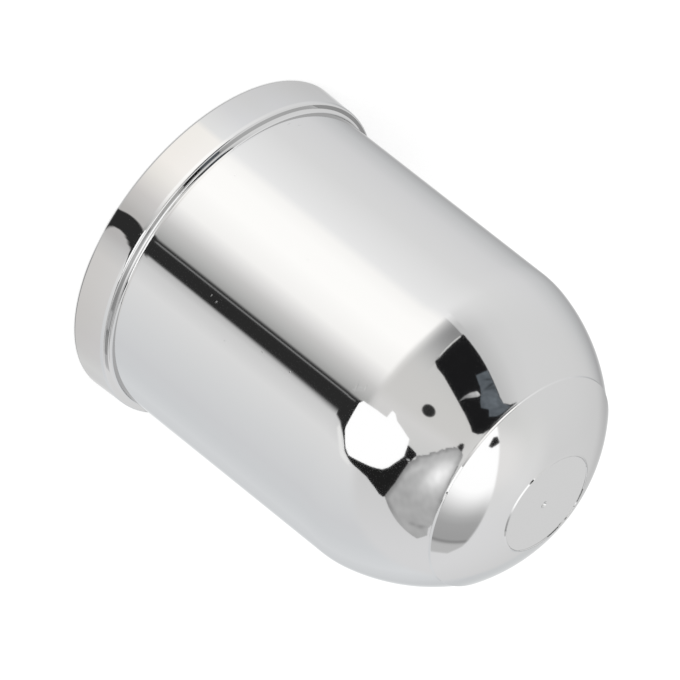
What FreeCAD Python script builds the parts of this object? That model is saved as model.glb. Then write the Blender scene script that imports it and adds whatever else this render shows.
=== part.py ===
import FreeCAD, Part
import math
import os
import Sketcher

# Tow ball cover: one thin moulded cap, chrome plated, that drops over a 50 mm tow ball.
# It stands on its open rim. +Z runs up the axis from the rim's plane to the nose.
# Lengths are in millimetres and angles in degrees.

doc = FreeCAD.newDocument("tow_ball_cover")

# Driving dimensions
# Each row is the cell's alias, its value and what it measures on the cover.
DIMENSIONS = [
    ("ball_radius", 25.0, "the standard tow ball that the cover fits"),
    ("ball_clearance", 0.5, "gap all round between the ball and the bore"),
    ("wall_thickness", 2.0, "wall of the body at the collar, of the dome and of the nose"),
    ("lead_in_depth", 6.0, "height of the flared mouth inside the collar"),
    ("lead_in_width", 1.4, "how much wider than the bore the mouth is, on the radius"),
    ("collar_height", 6.65, "rim to the ledge on top of the collar, at the ledge's foot on the body"),
    ("collar_ledge", 1.4, "how far the collar's side stands out from the body, carried up to the ledge's foot"),
    ("collar_flare", 2.1, "angle at which the collar widens towards the rim"),
    ("collar_bend_drop", 0.85, "how far below the ledge's foot the collar's side starts to bend in"),
    ("collar_bend", 2.3, "radius of that bend, which runs up to the ledge's edge"),
    ("ledge_slope", 6.5, "angle at which the ledge falls from the body outwards"),
    ("collar_rounding", 0.36, "rounding on the ledge's edge"),
    ("collar_root", 0.65, "fillet where the ledge meets the body"),
    ("rim_rounding", 0.4, "rounding on the rim's outer edge"),
    ("mouth_rounding", 0.3, "rounding on the rim's inner edge"),
    ("body_length", 43.1, "ledge to the start of the shoulder"),
    ("body_draft", 0.44, "moulding draft of the body, which narrows towards the nose"),
    ("bend_radius", 17.5, "radius of the bend that turns the body into the shoulder"),
    ("bend_turn", 12.8, "angle through which that bend turns"),
    ("shoulder_rise", 18.25, "height of the bend and the domed shoulder together"),
    ("ring_inset", 8.04, "how far in from the top of the body the ring round the nose lies"),
    ("ring_slope", 45.0, "slope that the wall has at the ring, on the inside"),
    ("nose_lift", 0.355, "height of the small wall at the ring, which lifts the nose"),
    ("ring_lean", 0.063, "how far that wall leans in from its foot to its edge"),
    ("ring_rounding", 0.1, "rounding on the edge of that wall"),
    ("ring_root", 0.3, "fillet at the foot of that wall"),
    ("nose_rise", 5.48, "height of the domed nose"),
    ("nose_radius", 28.5, "radius of the nose's section"),
    ("disc_radius", 8.7, "radius of the flat disc on the nose"),
    ("disc_skirt", 0.25, "width of the sloped edge round the disc"),
    ("disc_lift", 0.195, "height of that sloped edge, which lifts the disc above the nose"),
    ("disc_rounding", 0.15, "rounding on the disc's edge"),
    ("disc_root", 0.12, "fillet at the foot of the disc's sloped edge"),
    ("gate_radius", 0.6, "radius of the moulding gate's dimple"),
    ("gate_depth", 0.12, "depth of the moulding gate's dimple"),
]

sizes = doc.addObject("Spreadsheet::Sheet", "sizes")
for row, (alias, value, meaning) in enumerate(DIMENSIONS, start=1):
    sizes.set(f"A{row}", meaning)
    sizes.set(f"B{row}", str(value))
    sizes.setAlias(f"B{row}", alias)
doc.recompute()

# Radii and heights that follow from the driving dimensions
BORE_RADIUS = "sizes.ball_radius + sizes.ball_clearance"
MOUTH_RADIUS = f"{BORE_RADIUS} + sizes.lead_in_width"
BODY_RADIUS = f"{BORE_RADIUS} + sizes.wall_thickness"
BODY_TOP_RADIUS = f"{BODY_RADIUS} - sizes.body_length * tan(sizes.body_draft)"
COLLAR_RADIUS = f"{BODY_RADIUS} + sizes.collar_ledge"
RIM_RADIUS = f"{COLLAR_RADIUS} + sizes.collar_height * tan(sizes.collar_flare)"
RING_RADIUS = f"{BODY_TOP_RADIUS} - sizes.ring_inset"
RING_TOP_RADIUS = f"{RING_RADIUS} - sizes.ring_lean"
DISC_FOOT_RADIUS = "sizes.disc_radius + sizes.disc_skirt"
BEND_FOOT = "sizes.collar_height + sizes.body_length"
RING_FOOT = f"{BEND_FOOT} + sizes.shoulder_rise"
RING_TOP = f"{RING_FOOT} + sizes.nose_lift"
DISC_FOOT = f"{RING_TOP} + sizes.nose_rise"
DISC_TOP = f"{DISC_FOOT} + sizes.disc_lift"

# The collar's bend starts in line with the flared side. Its centre is given from the ledge's foot.
COLLAR_BEND_FOOT = "sizes.collar_height - sizes.collar_bend_drop"
COLLAR_BEND_RADIUS = f"{COLLAR_RADIUS} + sizes.collar_bend_drop * tan(sizes.collar_flare)"
CENTRE_OUT = (
    "(sizes.collar_ledge + sizes.collar_bend_drop * tan(sizes.collar_flare)"
    " - sizes.collar_bend * cos(sizes.collar_flare))"
)
CENTRE_DOWN = "(sizes.collar_bend_drop + sizes.collar_bend * sin(sizes.collar_flare))"

# The ledge falls outwards from the body until it meets the bend's circle, at the ledge's edge.
CENTRE_ALONG = f"({CENTRE_OUT} * cos(sizes.ledge_slope) + {CENTRE_DOWN} * sin(sizes.ledge_slope))"
CENTRE_BELOW = f"({CENTRE_DOWN} * cos(sizes.ledge_slope) - {CENTRE_OUT} * sin(sizes.ledge_slope))"
LEDGE_LENGTH = f"({CENTRE_ALONG} + sqrt(sizes.collar_bend * sizes.collar_bend - {CENTRE_BELOW} * {CENTRE_BELOW}))"
LEDGE_EDGE_RADIUS = f"{BODY_RADIUS} + {LEDGE_LENGTH} * cos(sizes.ledge_slope)"
LEDGE_EDGE_HEIGHT = f"sizes.collar_height - {LEDGE_LENGTH} * sin(sizes.ledge_slope)"

# The bend leaves the body smoothly and leans in by its own turn and the body's draft.
LEAN = "(sizes.body_draft + sizes.bend_turn)"
BEND_IN = f"sizes.bend_radius * (cos(sizes.body_draft) - cos({LEAN}))"
BEND_UP = f"sizes.bend_radius * (sin({LEAN}) - sin(sizes.body_draft))"
BEND_END_RADIUS = f"{BODY_TOP_RADIUS} - {BEND_IN}"
BEND_END_HEIGHT = f"{BEND_FOOT} + {BEND_UP}"

# One radius alone takes the shoulder smoothly from the bend's end to the ring.
SHOULDER_IN = f"(sizes.ring_inset - {BEND_IN})"
SHOULDER_UP = f"(sizes.shoulder_rise - {BEND_UP})"
SHOULDER_CHORD_SQUARED = f"({SHOULDER_IN} * {SHOULDER_IN} + {SHOULDER_UP} * {SHOULDER_UP})"
SHOULDER_SWING = f"({SHOULDER_IN} * cos({LEAN}) - {SHOULDER_UP} * sin({LEAN}))"
SHOULDER_RADIUS = f"{SHOULDER_CHORD_SQUARED} / (2 * {SHOULDER_SWING})"

# The inside follows the outside one wall's thickness in, and has no step of its own at the ring.
BORE_TOP = f"{BEND_FOOT} - sizes.wall_thickness"
INNER_RING_RADIUS = f"{RING_RADIUS} - sizes.wall_thickness * sin(sizes.ring_slope)"
INNER_RING_HEIGHT = f"{RING_FOOT} - sizes.wall_thickness * cos(sizes.ring_slope)"
CEILING = f"{DISC_TOP} - sizes.wall_thickness"
INNER_SHOULDER_RADIUS = f"{SHOULDER_RADIUS} - sizes.wall_thickness"
INNER_NOSE_RADIUS = "sizes.nose_radius - sizes.wall_thickness"


def worked_out(expression):
    """The value of an expression on the sheet's cells, as a plain number."""
    found = sizes.evalExpression(expression)
    return float(getattr(found, "Value", found))


def corner(x_expression, y_expression):
    """A corner of the wall's section, in the sketch's own x (radius) and y (height)."""
    return FreeCAD.Vector(worked_out(x_expression), worked_out(y_expression), 0)


def plane_of(body, role):
    """One of the body's own origin planes."""
    return next(item for item in body.Origin.OriginFeatures if item.Role == role)


def new_sketch(body, name):
    """A sketch on the body's upright plane: x is the radius and y is the height."""
    sketch = body.newObject("Sketcher::SketchObject", name)
    sketch.AttachmentSupport = [(plane_of(body, "XZ_Plane"), "")]
    sketch.MapMode = "FlatFace"
    return sketch


def bind(sketch, name, expression, *constraint):
    """Adds a named dimension to the sketch and ties it to the sheet."""
    index = sketch.addConstraint(Sketcher.Constraint(*constraint, worked_out(expression)))
    sketch.renameConstraint(index, name)
    sketch.setExpression(f"Constraints.{name}", expression)


# The sketcher's own numbers for the ends of a side and for the sketch's two axes
START_INDEX = 1
END_INDEX = 2
ACROSS_INDEX = -1
UP_INDEX = -2
ORIGIN = (ACROSS_INDEX, START_INDEX)

cover = doc.addObject("PartDesign::Body", "ball_cover")
cover.Label = "ball_cover"
cover.Placement = FreeCAD.Placement()

# The wall's section
# One closed outline, drawn up the outside from the rim and back down the inside.
section = new_sketch(cover, "wall_section")

rim_inner = corner(MOUTH_RADIUS, "0")
rim_outer = corner(RIM_RADIUS, "0")
collar_bend_foot = corner(COLLAR_BEND_RADIUS, COLLAR_BEND_FOOT)
ledge_edge = corner(LEDGE_EDGE_RADIUS, LEDGE_EDGE_HEIGHT)
body_foot = corner(BODY_RADIUS, "sizes.collar_height")
body_top = corner(BODY_TOP_RADIUS, BEND_FOOT)
bend_end = corner(BEND_END_RADIUS, BEND_END_HEIGHT)
ring_foot = corner(RING_RADIUS, RING_FOOT)
ring_top = corner(RING_TOP_RADIUS, RING_TOP)
disc_foot = corner(DISC_FOOT_RADIUS, DISC_FOOT)
disc_edge = corner("sizes.disc_radius", DISC_TOP)
nose_tip = corner("0", DISC_TOP)
ceiling_middle = corner("0", CEILING)
ceiling_edge = corner("sizes.disc_radius", CEILING)
inner_ring = corner(INNER_RING_RADIUS, INNER_RING_HEIGHT)
bore_top = corner(BORE_RADIUS, BORE_TOP)
bore_foot = corner(BORE_RADIUS, "sizes.lead_in_depth")


def line(start, end):
    """Adds a straight side of the outline and returns its number in the sketch."""
    return section.addGeometry(Part.LineSegment(start, end), False)


def dome_arc(low, high, radius_expression):
    """Adds the arc that bulges up and out between two corners, of which low is the outer one."""
    radius = worked_out(radius_expression)
    chord = high - low
    towards_centre = FreeCAD.Vector(-chord.y, chord.x, 0).normalize()
    centre = (low + high) / 2 + towards_centre * math.sqrt(radius**2 - (chord.Length / 2) ** 2)
    angles = [math.atan2(end.y - centre.y, end.x - centre.x) for end in (low, high)]
    circle = Part.Circle(centre, FreeCAD.Vector(0, 0, 1), radius)
    return section.addGeometry(Part.ArcOfCircle(circle, *angles), False)


rim_side = line(rim_inner, rim_outer)
collar_side = line(rim_outer, collar_bend_foot)
collar_bend_arc = dome_arc(collar_bend_foot, ledge_edge, "sizes.collar_bend")
ledge_side = line(ledge_edge, body_foot)
body_side = line(body_foot, body_top)
bend_arc = dome_arc(body_top, bend_end, "sizes.bend_radius")
shoulder_arc = dome_arc(bend_end, ring_foot, SHOULDER_RADIUS)
ring_side = line(ring_foot, ring_top)
nose_arc = dome_arc(ring_top, disc_foot, "sizes.nose_radius")
disc_side = line(disc_foot, disc_edge)
disc_face = line(disc_edge, nose_tip)
axis_side = line(nose_tip, ceiling_middle)
ceiling_side = line(ceiling_middle, ceiling_edge)
inner_nose_arc = dome_arc(inner_ring, ceiling_edge, INNER_NOSE_RADIUS)
inner_shoulder_arc = dome_arc(bore_top, inner_ring, INNER_SHOULDER_RADIUS)
bore_side = line(bore_top, bore_foot)
lead_in_side = line(bore_foot, rim_inner)

# Each side is listed with the end that it leaves by, and the next one with the end it joins.
# The two inner arcs run upwards as the outer ones do, so the outline passes them backwards.
JOINTS = [
    (rim_side, END_INDEX, collar_side, START_INDEX),
    (collar_side, END_INDEX, collar_bend_arc, START_INDEX),
    (collar_bend_arc, END_INDEX, ledge_side, START_INDEX),
    (ledge_side, END_INDEX, body_side, START_INDEX),
    (body_side, END_INDEX, bend_arc, START_INDEX),
    (bend_arc, END_INDEX, shoulder_arc, START_INDEX),
    (shoulder_arc, END_INDEX, ring_side, START_INDEX),
    (ring_side, END_INDEX, nose_arc, START_INDEX),
    (nose_arc, END_INDEX, disc_side, START_INDEX),
    (disc_side, END_INDEX, disc_face, START_INDEX),
    (disc_face, END_INDEX, axis_side, START_INDEX),
    (axis_side, END_INDEX, ceiling_side, START_INDEX),
    (ceiling_side, END_INDEX, inner_nose_arc, END_INDEX),
    (inner_nose_arc, START_INDEX, inner_shoulder_arc, END_INDEX),
    (inner_shoulder_arc, START_INDEX, bore_side, START_INDEX),
    (bore_side, END_INDEX, lead_in_side, START_INDEX),
    (lead_in_side, END_INDEX, rim_side, START_INDEX),
]
for joint in JOINTS:
    section.addConstraint(Sketcher.Constraint("Coincident", *joint))
for side in (disc_face, ceiling_side):
    section.addConstraint(Sketcher.Constraint("Horizontal", side))
section.addConstraint(Sketcher.Constraint("Vertical", bore_side))
for side, axis in ((rim_side, ACROSS_INDEX), (axis_side, UP_INDEX)):
    section.addConstraint(Sketcher.Constraint("PointOnObject", side, START_INDEX, axis))
    section.addConstraint(Sketcher.Constraint("PointOnObject", side, END_INDEX, axis))

# Radii, each measured out from the axis
RADII = [
    ("rim_radius", RIM_RADIUS, rim_side, END_INDEX),
    ("collar_bend_foot_radius", COLLAR_BEND_RADIUS, collar_side, END_INDEX),
    ("ledge_edge_radius", LEDGE_EDGE_RADIUS, ledge_side, START_INDEX),
    ("body_radius", BODY_RADIUS, body_side, START_INDEX),
    ("body_top_radius", BODY_TOP_RADIUS, body_side, END_INDEX),
    ("bend_end_radius", BEND_END_RADIUS, bend_arc, END_INDEX),
    ("ring_radius", RING_RADIUS, ring_side, START_INDEX),
    ("ring_top_radius", RING_TOP_RADIUS, ring_side, END_INDEX),
    ("disc_foot_radius", DISC_FOOT_RADIUS, disc_side, START_INDEX),
    ("disc_radius", "sizes.disc_radius", disc_side, END_INDEX),
    ("ceiling_radius", "sizes.disc_radius", ceiling_side, END_INDEX),
    ("inner_ring_radius", INNER_RING_RADIUS, inner_shoulder_arc, END_INDEX),
    ("bore_radius", BORE_RADIUS, bore_side, END_INDEX),
    ("mouth_radius", MOUTH_RADIUS, lead_in_side, END_INDEX),
]
for name, expression, side, end in RADII:
    bind(section, name, expression, "DistanceX", *ORIGIN, side, end)

# Heights, each measured up from the rim's plane
HEIGHTS = [
    ("collar_bend_foot_height", COLLAR_BEND_FOOT, collar_side, END_INDEX),
    ("ledge_edge_height", LEDGE_EDGE_HEIGHT, ledge_side, START_INDEX),
    ("collar_height", "sizes.collar_height", body_side, START_INDEX),
    ("bend_height", BEND_FOOT, bend_arc, START_INDEX),
    ("bend_end_height", BEND_END_HEIGHT, bend_arc, END_INDEX),
    ("ring_height", RING_FOOT, ring_side, START_INDEX),
    ("ring_top_height", RING_TOP, ring_side, END_INDEX),
    ("disc_foot_height", DISC_FOOT, disc_side, START_INDEX),
    ("disc_height", DISC_TOP, disc_side, END_INDEX),
    ("ceiling_height", CEILING, ceiling_side, END_INDEX),
    ("inner_ring_height", INNER_RING_HEIGHT, inner_shoulder_arc, END_INDEX),
    ("bore_height", BORE_TOP, bore_side, START_INDEX),
    ("lead_in_depth", "sizes.lead_in_depth", bore_side, END_INDEX),
]
for name, expression, side, end in HEIGHTS:
    bind(section, name, expression, "DistanceY", *ORIGIN, side, end)

# Radii of the curved stretches
CURVES = [
    ("collar_bend_radius", "sizes.collar_bend", collar_bend_arc),
    ("bend_radius", "sizes.bend_radius", bend_arc),
    ("shoulder_radius", SHOULDER_RADIUS, shoulder_arc),
    ("inner_shoulder_radius", INNER_SHOULDER_RADIUS, inner_shoulder_arc),
    ("nose_radius", "sizes.nose_radius", nose_arc),
    ("inner_nose_radius", INNER_NOSE_RADIUS, inner_nose_arc),
]
for name, expression, side in CURVES:
    bind(section, name, expression, "Radius", side)
doc.recompute()

# The moulded wall, turned about the axis
FULL_TURN = 360.0
moulding = cover.newObject("PartDesign::Revolution", "moulded_wall")
moulding.Profile = section
moulding.ReferenceAxis = (section, ["V_Axis"])
moulding.Angle = FULL_TURN
doc.recompute()


# Rounded edges
# An edge is found by its radius and height, and counts as there when it is this near, in mm.
NEAR = 0.001


def round_edges_at(radius, height):
    """Names of the round edges of the cover, so far, that lie at this radius and height."""
    return [
        f"Edge{number}"
        for number, edge in enumerate(cover.Tip.Shape.Edges, start=1)
        if isinstance(edge.Curve, Part.Circle)
        and abs(edge.Curve.Radius - radius) < NEAR
        and abs(edge.Curve.Center.z - height) < NEAR
    ]


def round_off(name, place, radius_expression):
    """Rounds or fillets the edge that one corner of the section draws when it is turned."""
    edges = round_edges_at(place.x, place.y)
    if not edges:
        raise RuntimeError(f"no edge of the cover lies where {name} should be")
    base = cover.Tip
    fillet = cover.newObject("PartDesign::Fillet", name)
    fillet.Base = (base, edges)
    fillet.setExpression("Radius", radius_expression)
    cover.Tip = fillet
    doc.recompute()


# The rounding on the ledge's edge and the fillet at its foot share the ledge between them.
EDGE_SHARE = 0.3
FOOT_SHARE = 0.5

ROUNDED_EDGES = [
    ("collar_root_fillet", body_foot, f"min(sizes.collar_root; {FOOT_SHARE} * sizes.collar_ledge)"),
    ("collar_edge_rounding", ledge_edge, f"min(sizes.collar_rounding; {EDGE_SHARE} * sizes.collar_ledge)"),
    ("rim_outer_rounding", rim_outer, "sizes.rim_rounding"),
    ("rim_inner_rounding", rim_inner, "sizes.mouth_rounding"),
    ("ring_root_fillet", ring_foot, "min(sizes.ring_root; sizes.nose_lift)"),
    ("ring_edge_rounding", ring_top, "min(sizes.ring_rounding; sizes.nose_lift)"),
    ("disc_root_fillet", disc_foot, "min(sizes.disc_root; sizes.disc_lift)"),
    ("disc_edge_rounding", disc_edge, "min(sizes.disc_rounding; sizes.disc_lift)"),
]
for name, place, radius_expression in ROUNDED_EDGES:
    round_off(name, place, radius_expression)

# The moulding gate's dimple, in the middle of the disc
# Its section is the shallow triangle between the axis, the disc's face and a sloping side.
dimple = new_sketch(cover, "gate_section")
dimple_floor = corner("0", f"{DISC_TOP} - sizes.gate_depth")
dimple_edge = corner("sizes.gate_radius", DISC_TOP)
dimple_axis = dimple.addGeometry(Part.LineSegment(dimple_floor, nose_tip), False)
dimple_top = dimple.addGeometry(Part.LineSegment(nose_tip, dimple_edge), False)
dimple_slope = dimple.addGeometry(Part.LineSegment(dimple_edge, dimple_floor), False)
for first, second in ((dimple_axis, dimple_top), (dimple_top, dimple_slope), (dimple_slope, dimple_axis)):
    dimple.addConstraint(Sketcher.Constraint("Coincident", first, END_INDEX, second, START_INDEX))
dimple.addConstraint(Sketcher.Constraint("PointOnObject", dimple_axis, START_INDEX, UP_INDEX))
dimple.addConstraint(Sketcher.Constraint("PointOnObject", dimple_axis, END_INDEX, UP_INDEX))
dimple.addConstraint(Sketcher.Constraint("Horizontal", dimple_top))
bind(dimple, "disc_height", DISC_TOP, "DistanceY", *ORIGIN, dimple_top, START_INDEX)
bind(dimple, "gate_radius", "sizes.gate_radius", "DistanceX", *ORIGIN, dimple_top, END_INDEX)
bind(dimple, "gate_depth", "sizes.gate_depth", "DistanceY", dimple_axis, START_INDEX, dimple_axis, END_INDEX)
doc.recompute()

volume_before = cover.Tip.Shape.Volume
gate = cover.newObject("PartDesign::Groove", "gate_dimple")
gate.Profile = dimple
gate.ReferenceAxis = (dimple, ["V_Axis"])
gate.Angle = FULL_TURN
cover.Tip = gate
doc.recompute()
if not gate.Shape.Volume < volume_before:
    raise RuntimeError("the gate's dimple cuts nothing")

# Checks before anything is written
for item in doc.Objects:
    if "Invalid" in item.State or "Error" in item.State:
        raise RuntimeError(f"{item.Name} failed: {item.State}")
for sketch in (section, dimple):
    if not sketch.FullyConstrained:
        raise RuntimeError(f"{sketch.Name} can still move")
shape = cover.Shape
if shape.isNull() or not shape.isValid() or len(shape.Solids) != 1:
    raise RuntimeError(f"{cover.Label} is not one sound solid")

os.makedirs("parts", exist_ok=True)
shape.exportStep(f"parts/{cover.Label}.step")
print(f"{cover.Label}: {shape.Volume / 1000:.2f} cm3")
print(f"{cover.Label}: stands from {shape.BoundBox.ZMin:.3f} to {shape.BoundBox.ZMax:.3f} mm")
print(f"{cover.Label}: the rim is {2 * rim_outer.x:.2f} mm across")
print(f"{cover.Label}: the ledge's edge is at radius {ledge_edge.x:.3f} and height {ledge_edge.y:.3f} mm")
print(f"{cover.Label}: the bore runs from {bore_foot.y:.2f} to {bore_top.y:.2f} mm")
print(f"{cover.Label}: the shoulder's radius works out at {worked_out(SHOULDER_RADIUS):.2f} mm")
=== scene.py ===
# %% [markdown]
# # A chrome tow ball cover
# This lesson dresses one moulded cap that slips over a 50 mm tow ball. The cap is ABS with bright chrome
# plating, so it has hardly any colour of its own: nearly all that the eye sees is the room around it.
# The work is in two things, a very exact surface and a room that is worth mirroring.
#
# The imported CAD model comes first, because it holds the real size. Its box is measured straight away.

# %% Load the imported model
import math
import random

import bpy
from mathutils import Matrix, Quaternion, Vector, geometry, noise
from mathutils.geometry import delaunay_2d_cdt


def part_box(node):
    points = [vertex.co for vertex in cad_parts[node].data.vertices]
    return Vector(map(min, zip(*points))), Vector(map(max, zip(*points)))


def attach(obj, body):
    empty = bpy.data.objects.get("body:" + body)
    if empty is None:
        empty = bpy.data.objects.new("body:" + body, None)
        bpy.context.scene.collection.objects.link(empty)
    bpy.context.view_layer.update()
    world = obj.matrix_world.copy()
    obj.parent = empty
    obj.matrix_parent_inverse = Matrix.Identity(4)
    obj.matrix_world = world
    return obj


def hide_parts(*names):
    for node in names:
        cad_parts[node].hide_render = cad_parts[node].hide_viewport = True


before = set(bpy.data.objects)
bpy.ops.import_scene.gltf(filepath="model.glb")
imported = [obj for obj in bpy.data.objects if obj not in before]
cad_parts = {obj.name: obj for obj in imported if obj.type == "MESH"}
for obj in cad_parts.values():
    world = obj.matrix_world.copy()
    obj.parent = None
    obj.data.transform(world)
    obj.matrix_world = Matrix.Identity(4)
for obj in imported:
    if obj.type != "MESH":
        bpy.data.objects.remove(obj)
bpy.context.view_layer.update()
MM = 0.001

# %% [markdown]
# ## Small helpers
# Colours are written as people pick them, as sRGB hex values, and one function turns them into the
# linear light that Blender works with. One more gives the hex value of a plain grey. Another adds one
# node, sets it up and links it, and the last makes an empty material.

# %% Helpers for colours and nodes
def linear(hex_colour):
    """Turns an sRGB hex colour into linear red, green and blue."""
    channels = [int(hex_colour[i:i + 2], 16) / 255 for i in (1, 3, 5)]
    return tuple(c / 12.92 if c <= 0.04045 else ((c + 0.055) / 1.055) ** 2.4 for c in channels)


def grey(level):
    """The hex colour of a plain grey from 0 to 255."""
    return "#" + "%02X" % round(max(0, min(255, level))) * 3


def add_node(tree, kind, settings=None, inputs=None):
    """Adds one node, sets its properties, and fills or links its inputs by name or by number."""
    node = tree.nodes.new(kind)
    for name, value in (settings or {}).items():
        setattr(node, name, value)
    for socket, value in (inputs or {}).items():
        if isinstance(value, bpy.types.NodeSocket):
            tree.links.new(value, node.inputs[socket])
        else:
            node.inputs[socket].default_value = value
    return node


def new_material(name):
    """Gives an empty node material and its tree."""
    material = bpy.data.materials.new(name)
    material.use_nodes = True
    material.node_tree.nodes.clear()
    return material, material.node_tree


# %% [markdown]
# ## The cap's outline
# The cap is one turned shape. A lathe needs only half a cross-section: a line that starts on the axis
# under the ceiling, runs down the bore, round the rim, up the outside and back to the axis on the nose.
# A mirror shows every error of that line, so nothing is left to subdivision: the line is made of true
# straights and arcs, each corner gets its own small radius as a moulding tool has, and each point keeps
# the exact direction in which the surface faces there.

# %% Sizes of the cap, in millimetres
BORE_RADIUS = 25.5
MOUTH_RADIUS = 26.9
LEAD_IN_HEIGHT = 6.0
BORE_TOP = 47.75
INNER_SHOULDER_ARC = 30.35
INNER_RING = (17.715, 66.586)
INNER_NOSE_ARC = 26.5
CEILING = 72.03

RIM_RADIUS = 29.144
COLLAR_BEND = (28.931, 5.8)
COLLAR_ARC = 2.3
LEDGE_EDGE = (28.793, 6.506)
BODY_FOOT = (27.5, 6.65)
BODY_TOP = (27.169, 49.75)
BEND_ARC = 17.5
BEND_END = (26.704, 53.624)
SHOULDER_ARC = 32.35
RING_FOOT = (19.129, 68.0)
RING_TOP = (19.066, 68.355)
NOSE_ARC = 28.5
DISC_FOOT = (8.95, 73.835)
DISC_RADIUS = 8.7
NOSE_TOP = 74.03

# The disc has a thin lip at its edge, and its face lies a hair lower than the lip.
LIP_RADIUS = 8.62
FACE_RADIUS = 8.56
FACE_HEIGHT = 73.91

# Each row is a corner: radius, height, the arc that leads to it (0 is straight, more than 0 turns to
# the left as the line runs, less than 0 to the right), and the small radius that rounds the corner off.
CORNERS = [
    (0.0, CEILING, 0, 0),
    (DISC_RADIUS, CEILING, 0, 2.0),
    (*INNER_RING, -INNER_NOSE_ARC, 0),
    (BORE_RADIUS, BORE_TOP, -INNER_SHOULDER_ARC, 0),
    (BORE_RADIUS, LEAD_IN_HEIGHT, 0, 2.0),
    (MOUTH_RADIUS, 0.0, 0, 0.3),
    (RIM_RADIUS, 0.0, 0, 0.4),
    (*COLLAR_BEND, 0, 0),
    (*LEDGE_EDGE, COLLAR_ARC, 0.36),
    (*BODY_FOOT, 0, 0.65),
    (*BODY_TOP, 0, 0),
    (*BEND_END, BEND_ARC, 0),
    (*RING_FOOT, SHOULDER_ARC, 0.3),
    (*RING_TOP, 0, 0.1),
    (*DISC_FOOT, NOSE_ARC, 0.12),
    (DISC_RADIUS, NOSE_TOP, 0, 0.15),
    (LIP_RADIUS, NOSE_TOP, 0, 0.03),
    (FACE_RADIUS, FACE_HEIGHT, 0, 0.03),
    (0.0, FACE_HEIGHT, 0, 0),
]
MOUTH_CORNER = 5

# %% Walk along the outline
ARC_STEP = math.radians(1.5)
ROUNDING_STEP = math.radians(7.5)
LONGEST_STEP = 4.0


def direction(heading):
    """A unit vector in the cross-section, for a heading in radians."""
    return Vector((math.cos(heading), math.sin(heading)))


def turn_between(before, after):
    """The signed turn from one heading to the next, to the left above 0."""
    return (after - before + math.pi) % (2 * math.pi) - math.pi


def make_stretch(start, end, arc):
    """A straight or an arc between two corners: where it starts, its heading, length and curvature."""
    chord = Vector(end) - Vector(start)
    heading = math.atan2(chord.y, chord.x)
    if not arc:
        return {"start": Vector(start), "heading": heading, "length": chord.length, "bend": 0.0}
    half = math.asin(chord.length / (2 * abs(arc)))
    sign = math.copysign(1, arc)
    return {
        "start": Vector(start),
        "heading": heading - sign * half,
        "length": 2 * half * abs(arc),
        "bend": 1 / arc,
    }


def point_on(stretch, distance):
    """The place and heading at a distance along a stretch."""
    heading = stretch["heading"]
    bend = stretch["bend"]
    if not bend:
        return stretch["start"] + direction(heading) * distance, heading
    turned = heading + bend * distance
    step = Vector((math.sin(turned) - math.sin(heading), math.cos(heading) - math.cos(turned)))
    return stretch["start"] + step / bend, turned


def round_corner(start, start_heading, end, end_heading):
    """Points of a smooth corner between two places, by a cubic curve that leaves and arrives in line."""
    turn = abs(turn_between(start_heading, end_heading))
    radius = (end - start).length / (2 * math.sin(turn / 2))
    reach = 4 / 3 * math.tan(turn / 4) * radius
    first = start + direction(start_heading) * reach
    second = end - direction(end_heading) * reach
    count = max(2, math.ceil(turn / ROUNDING_STEP))
    points = []
    for i in range(1, count):
        t = i / count
        u = 1 - t
        place = start * u ** 3 + first * 3 * t * u ** 2 + second * 3 * t ** 2 * u + end * t ** 3
        pull = (first - start) * u ** 2 + (second - first) * 2 * t * u + (end - second) * t ** 2
        points.append((place, math.atan2(pull.y, pull.x)))
    return points


def walk_outline(corners):
    """Gives the line's points as (radius, height, heading, corner number that it has passed)."""
    stretches = [make_stretch(a[:2], b[:2], b[2]) for a, b in zip(corners, corners[1:])]
    cuts = [0.0]
    for i in range(1, len(corners) - 1):
        before = point_on(stretches[i - 1], stretches[i - 1]["length"])[1]
        turn = abs(turn_between(before, stretches[i]["heading"]))
        cuts.append(corners[i][3] * math.tan(turn / 2))
    cuts.append(0.0)
    points = []
    for i, stretch in enumerate(stretches):
        begin = cuts[i]
        finish = stretch["length"] - cuts[i + 1]
        steps = max(1, math.ceil((finish - begin) / LONGEST_STEP))
        steps = max(steps, math.ceil(abs(stretch["bend"]) * (finish - begin) / ARC_STEP))
        if cuts[i] and points:
            rounding = round_corner(*point_on(stretches[i - 1], last), *point_on(stretch, begin))
            points += [(place.x, place.y, heading, i) for place, heading in rounding]
        first = 0 if cuts[i] or not points else 1
        for k in range(first, steps + 1):
            place, heading = point_on(stretch, begin + (finish - begin) * k / steps)
            points.append((place.x, place.y, heading, i))
        last = finish
    return points


outline = walk_outline(CORNERS)
print("outline points:", len(outline))

# %% [markdown]
# ## The gate mark
# Plastic enters the mould through a small gate in the middle of the nose. Where it is cut off, the disc
# keeps a shallow dimple half a millimetre from the middle. The disc gets extra rings of points there,
# and the dimple's depth and slope are worked out at each of them.

# %% Extra rings round the gate mark
GATE_PLACE = Vector((0.36, -0.3))
GATE_RADIUS = 0.6
GATE_DEPTH = 0.3
GATE_RING_STEP = 0.05
GATE_RING_REACH = 1.1
WIDE_RINGS = [6.0, 3.5, 2.0]
RINGS_FROM = 8.0
LAST_CORNER = len(CORNERS) - 2
SAME_PLACE = 0.001


def gate_dimple(x, y):
    """How far the gate mark sinks at a place on the disc, and its slope there."""
    offset = Vector((x, y)) - GATE_PLACE
    share = offset.length / GATE_RADIUS
    if share >= 1:
        return 0.0, Vector((0, 0))
    sink = GATE_DEPTH * (1 - share ** 2) ** 2
    slope = offset * (4 * GATE_DEPTH * (1 - share ** 2) / GATE_RADIUS ** 2)
    return sink, slope


def is_kept(point):
    """Whether a point of the outline stays: those of the disc's inner face make way for the rings."""
    return abs(point[1] - FACE_HEIGHT) > SAME_PLACE or point[0] > RINGS_FROM


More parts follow.
